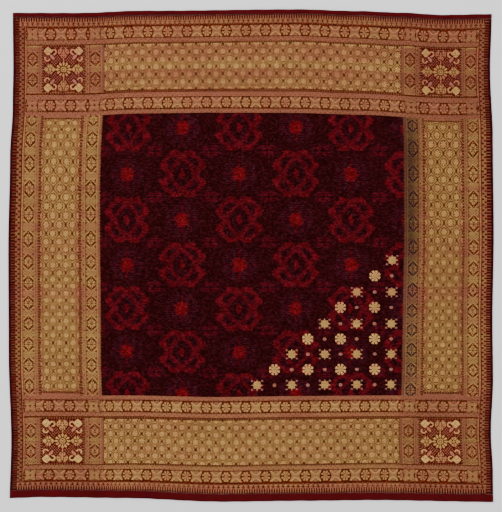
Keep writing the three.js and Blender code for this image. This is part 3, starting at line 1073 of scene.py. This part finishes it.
def ikatPhase(px, py):
    # how many half repeats of the ikat lie before a point, from its first column and row
    columnPlaces = np.array(ikat["columnPlaces"])
    rowPlaces = np.array(ikat["rowPlaces"])
    phaseX = np.interp(px, columnPlaces[:, 1], columnPlaces[:, 0])
    phaseY = np.interp(-py, -rowPlaces[:, 1], rowPlaces[:, 0])
    # past the tables the repeat goes on evenly
    w, h = ikat["halfRepeat"]
    phaseX += np.minimum(px - columnPlaces[0, 1], 0) / w
    phaseX += np.maximum(px - columnPlaces[-1, 1], 0) / w
    phaseY -= np.maximum(py - rowPlaces[0, 1], 0) / h
    phaseY += np.maximum(rowPlaces[-1, 1] - py, 0) / ikat["lastHalf"]
    # the shader's wander only adds, so half of it is taken off here
    phaseX -= groundSilk["feather"] / 2
    phaseY -= groundSilk["rowWander"] / 2
    return phaseX, phaseY


def weaveSheet(material):
    # one closed sheet, its top and underside a grid that follows the drawn-in edges
    columns, rows = 110, 110
    bm = bmesh.new()
    bmesh.ops.create_grid(bm, x_segments=columns, y_segments=rows, size=0.5)
    low = bottomSeam + cloth["seamGap"]
    high = topSeam - cloth["seamGap"]
    # closer columns at the selvedges
    lines = np.linspace(-1, 1, columns + 1)
    lines = np.sign(lines) * (1 - (1 - np.abs(lines)) ** 1.12) * cloth["width"] / 2
    bmesh.ops.extrude_face_region(bm, geom=bm.faces[:], use_keep_orig=True)
    bm.verts.ensure_lookup_table()
    half = len(bm.verts) // 2
    shares = np.array([v.co[:2] for v in bm.verts])
    column = np.rint((shares[:, 0] + 0.5) * columns).astype(int)
    px = lines[column]
    py = low + (shares[:, 1] + 0.5) * (high - low)
    fromSide = cloth["width"] / 2 - np.abs(px)
    top = cloth["thickness"] + lift(px, py)
    top += cloth["selvedgeRelief"] * np.clip((cloth["selvedge"] + 1.5 - fromSide) / 1.5, 0, 1)
    isTop = np.arange(len(bm.verts)) >= half
    layOut(bm, px, py, np.where(isTop, top, lift(px, py)))
    mesh = smoothMesh("silk_cloth", bm)
    vertexOf = np.zeros(len(mesh.loops), np.int32)
    mesh.loops.foreach_get("vertex_index", vertexOf)
    phaseX, phaseY = ikatPhase(px, py)
    # the field takes most of the texture, the underside and the edges a strip
    spread = np.interp(px, [-437, -274, 274, 437], [0.005, 0.095, 0.905, 0.995])
    rise = np.interp(py, [-443.5, -253, 258.5, 443.5], [0.135, 0.215, 0.915, 0.995])
    normals = np.zeros(len(mesh.polygons) * 3, np.float32)
    mesh.polygons.foreach_get("normal", normals)
    under = normals.reshape(-1, 3)[:, 2] < 0.5
    loopTotal = np.zeros(len(mesh.polygons), np.int32)
    mesh.polygons.foreach_get("loop_total", loopTotal)
    underLoop = np.repeat(under, loopTotal)
    bakeU = spread[vertexOf]
    bakeV = np.where(underLoop, 0.005 + (rise[vertexOf] - 0.135) * 0.13, rise[vertexOf])
    for name, u, v in (("plan", px[vertexOf] * mm, py[vertexOf] * mm),
                       ("ikat", phaseX[vertexOf], phaseY[vertexOf]),
                       ("OFBake", bakeU, bakeV)):
        layer = mesh.uv_layers.new(name=name)
        layer.data.foreach_set("uv", np.stack([u, v], 1).astype(np.float32).ravel())
    return finishPiece(addObject("silk_cloth", mesh), material, ["cloth"])


# Turned and sewn ends: plain weave silk, close to black-red, rubbed along the fold.
hem = {
    "colour": "41080b",
    "rubbed": "5a1115",
    "roughness": 0.5,
    "ribPitch": 2.08,
    "puckerPitch": 5.5,
    "pucker": 0.22,
    "seamSink": 0.35,  # how far the seam is drawn down
    "foldWander": 0.18,
    "stitchPitch": 5.5,
    "stitchLength": 2.6,
    "stitchWidth": 0.5,
    "stitchLow": 1.25,
    "stitchRise": 0.85,  # from the cloth up onto the hem
}


def hemMaterial():
    material, tree = newMaterial("plain_woven_silk_hem")
    spot = addNode(tree, "ShaderNodeTexCoord").outputs["Object"]
    ribs = addNode(tree, "ShaderNodeTexWave", {"wave_type": "BANDS", "bands_direction": "Y"},
                   {"Vector": spot, "Scale": waveBand / (hem["ribPitch"] * mm), "Distortion": 0.6})
    cloudy = addNode(tree, "ShaderNodeTexNoise", {}, {"Vector": spot, "Scale": 30.0, "Detail": 4.0})
    geometry = addNode(tree, "ShaderNodeNewGeometry")
    edge = addNode(tree, "ShaderNodeMapRange", {},
                   {"Value": geometry.outputs["Pointiness"], "From Min": 0.5, "From Max": 0.62})
    mixed = addNode(tree, "ShaderNodeMix", {"data_type": "RGBA"}, {
        0: edge, 6: linear(hem["colour"]), 7: linear(hem["rubbed"])})
    depth = addNode(tree, "ShaderNodeMath", {"operation": "MULTIPLY_ADD"},
                    {0: cloudy, 1: 0.7, 2: 0.65})
    colour = addNode(tree, "ShaderNodeVectorMath", {"operation": "SCALE"},
                     {0: mixed.outputs[2], "Scale": depth})
    bump = addNode(tree, "ShaderNodeBump", {},
                   {"Height": ribs.outputs["Fac"], "Strength": 0.3, "Distance": 0.0002})
    surface = addNode(tree, "ShaderNodeBsdfPrincipled", {}, {
        "Base Color": colour, "Roughness": hem["roughness"],
        "Specular IOR Level": 0.35, "Specular Tint": linear(groundSilk["lustre"]),
        "Normal": bump})
    addNode(tree, "ShaderNodeOutputMaterial", {}, {"Surface": surface})
    return material


def sewHem(name, end, depth, material, cadNode):
    # a flat bar, its outer long edges rounded over, cut across and bent to the cloth's end
    bm = bmesh.new()
    bmesh.ops.create_cube(bm, size=1)
    thick = cloth["hemThickness"]
    bmesh.ops.scale(bm, verts=bm.verts, vec=(cloth["width"], depth, thick))
    bmesh.ops.translate(bm, verts=bm.verts, vec=(0, 0, thick / 2))
    outer = [e for e in bm.edges if all(v.co.y * end > 0 for v in e.verts)
             and abs(e.verts[0].co.x - e.verts[1].co.x) > 1]
    bmesh.ops.bevel(bm, geom=outer, offset=thick * 0.49, offset_type="OFFSET", segments=5,
                    profile=0.5, affect="EDGES", material=-1)
    inner = [e for e in bm.edges if all(v.co.y * end < -depth * 0.49 for v in e.verts)
             and all(v.co.z > thick * 0.9 for v in e.verts)]
    bmesh.ops.bevel(bm, geom=inner, offset=0.45, offset_type="OFFSET", segments=2,
                    profile=0.5, affect="EDGES", material=-1)
    long = [e for e in bm.edges if abs(e.verts[0].co.x - e.verts[1].co.x) > 1]
    bmesh.ops.subdivide_edges(bm, edges=long, cuts=420, use_grid_fill=True)
    points = np.array([v.co for v in bm.verts])
    fromFold = depth / 2 - points[:, 1] * end
    px = points[:, 0]
    py = end * (cloth["length"] / 2 - fromFold)
    stitched = np.clip(fromFold / depth, 0, 1)
    wave = np.sin(2 * math.pi * px / hem["puckerPitch"]) + 0.7 * np.sin(px / 3.1 + 2)
    upper = points[:, 2] / thick
    swell = hem["pucker"] * wave * 2 * upper * stitched * (1 - stitched)
    z = points[:, 2] + lift(px, py) + swell
    z -= hem["seamSink"] * upper * np.clip((stitched - 0.8) / 0.2, 0, 1)
    layOut(bm, px, py + hem["foldWander"] * np.sin(px / 6.3) * (1 - stitched), z)
    return finishPiece(addObject(name, smoothMesh(name, bm)), material, [cadNode])


def sewStitches(material):
    # slip stitches along both seams: short rounded bars of sewing silk
    bm = bmesh.new()
    bmesh.ops.create_cone(bm, cap_ends=True, segments=6, radius1=0.5, radius2=0.5, depth=1)
    bmesh.ops.subdivide_edges(bm, edges=[e for e in bm.edges if abs(
        e.verts[0].co.z - e.verts[1].co.z) > 0.5], cuts=3)
    points = np.array([v.co for v in bm.verts])
    bm.verts.index_update()
    faces = [[v.index for v in f.verts] for f in bm.faces]
    bm.free()
    parts = []
    for end, depth in ((1, cloth["topHem"]), (-1, cloth["bottomHem"])):
        places = np.arange(-cloth["width"] / 2 + 4, cloth["width"] / 2 - 3, hem["stitchPitch"])
        places = places + rng.normal(0, 0.35, len(places))
        for x in places:
            lean = rng.normal(0.5, 0.12)
            along = points[:, 2] * hem["stitchLength"]
            taper = np.sqrt(np.clip(1.02 - (2 * points[:, 2]) ** 2, 0.05, 1))
            px = x + along * lean + points[:, 0] * hem["stitchWidth"] * taper
            seam = end * (cloth["length"] / 2 - depth + 0.3)
            py = seam + along * end * (1 - lean * 0.4)
            inside = np.clip((py * end - seam * end) / 1.0 + 0.5, 0, 1)
            pz = hem["stitchLow"] + hem["stitchRise"] * inside
            pz = pz + points[:, 1] * hem["stitchWidth"] * taper + lift(px, py)
            wx, wy = place(px, py)
            parts.append(np.stack([wx, wy, pz], 1) * mm)
    count = len(parts)
    verts = np.concatenate(parts)
    allFaces = [[i + k * len(points) for i in f] for k in range(count) for f in faces]
    mesh = bpy.data.meshes.new("hem_stitches")
    mesh.from_pydata(verts.tolist(), [], allFaces)
    mesh.polygons.foreach_set("use_smooth", np.ones(len(mesh.polygons), bool))
    print("sewn", count, "stitches")
    return finishPiece(addObject("hem_stitches", mesh), material)


studio = {
    "floor": "fbf9fa",
    "cameraHeight": 4.0,
    "viewWidth": 0.9039,  # metres of floor across the picture
    "world": 0.93,
    "key": 80.0,
    "fill": 25.0,
}


def setStudio():
    bm = bmesh.new()
    bmesh.ops.create_grid(bm, x_segments=4, y_segments=4, size=3.0)
    floor = addObject("floor", smoothMesh("floor", bm))
    material, tree = newMaterial("matt_pale_paper")
    spot = addNode(tree, "ShaderNodeTexCoord").outputs["Object"]
    tooth = addNode(tree, "ShaderNodeTexNoise", {}, {"Vector": spot, "Scale": 400.0})
    bump = addNode(tree, "ShaderNodeBump", {},
                   {"Height": tooth, "Strength": 0.05, "Distance": 0.0002})
    surface = addNode(tree, "ShaderNodeBsdfPrincipled", {}, {
        "Base Color": linear(studio["floor"]), "Roughness": 0.9, "Specular IOR Level": 0.2,
        "Normal": bump})
    addNode(tree, "ShaderNodeOutputMaterial", {}, {"Surface": surface})
    floor.data.materials.append(material)

    world = bpy.data.worlds.new("soft_room")
    world.use_nodes = True
    world.node_tree.nodes["Background"].inputs["Color"].default_value = linear("f4f6fa")
    world.node_tree.nodes["Background"].inputs["Strength"].default_value = studio["world"]
    bpy.context.scene.world = world

    for name, spot, size, power in (("key", (-1.6, 1.4, 2.6), 2.4, studio["key"]),
                                    ("fill", (1.9, -0.6, 2.4), 2.4, studio["fill"])):
        lamp = bpy.data.lights.new(name, "AREA")
        lamp.size = size
        lamp.energy = power
        holder = addObject(name, lamp)
        holder.location = spot
        direction = -holder.location
        holder.rotation_euler = direction.to_track_quat("-Z", "Y").to_euler()

    camera = bpy.data.cameras.new("camera")
    camera.sensor_fit = "HORIZONTAL"
    camera.sensor_width = 36.0
    camera.lens = 36.0 * studio["cameraHeight"] / studio["viewWidth"]
    view = addObject("camera", camera)
    view.location = (0.0, -0.0007, studio["cameraHeight"])
    bpy.context.scene.camera = view
    return floor


xs, ys, gold, tone, shade, piece, key = makeDraft()
print("draft", gold.shape, "gold share", round(float(gold.mean()), 3))
columnIndex = np.arange(len(xs))[None, :]
pickIndex = np.arange(len(ys))[:, None]
bound = (columnIndex + 4 * pickIndex) % draft["binding"] == 0
template = floatTemplate()
giltMaterial = giltThreadMaterial()
for number, pieceName in enumerate(pieceNames):
    mask = gold & (piece == number) & ~bound
    obj = weaveFloats(pieceName, mask, key, xs, ys, tone, shade, template)
    finishPiece(obj, giltMaterial)

silk = weaveSheet(silkMaterial())
print("silk sheet woven")
hemSilk = hemMaterial()
topHem = sewHem("silk_hem_top", 1, cloth["topHem"], hemSilk, "top_hem")
bottomHem = sewHem("silk_hem_bottom", -1, cloth["bottomHem"], hemSilk, "bottom_hem")
stitches = sewStitches(hemSilk)
floor = setStudio()
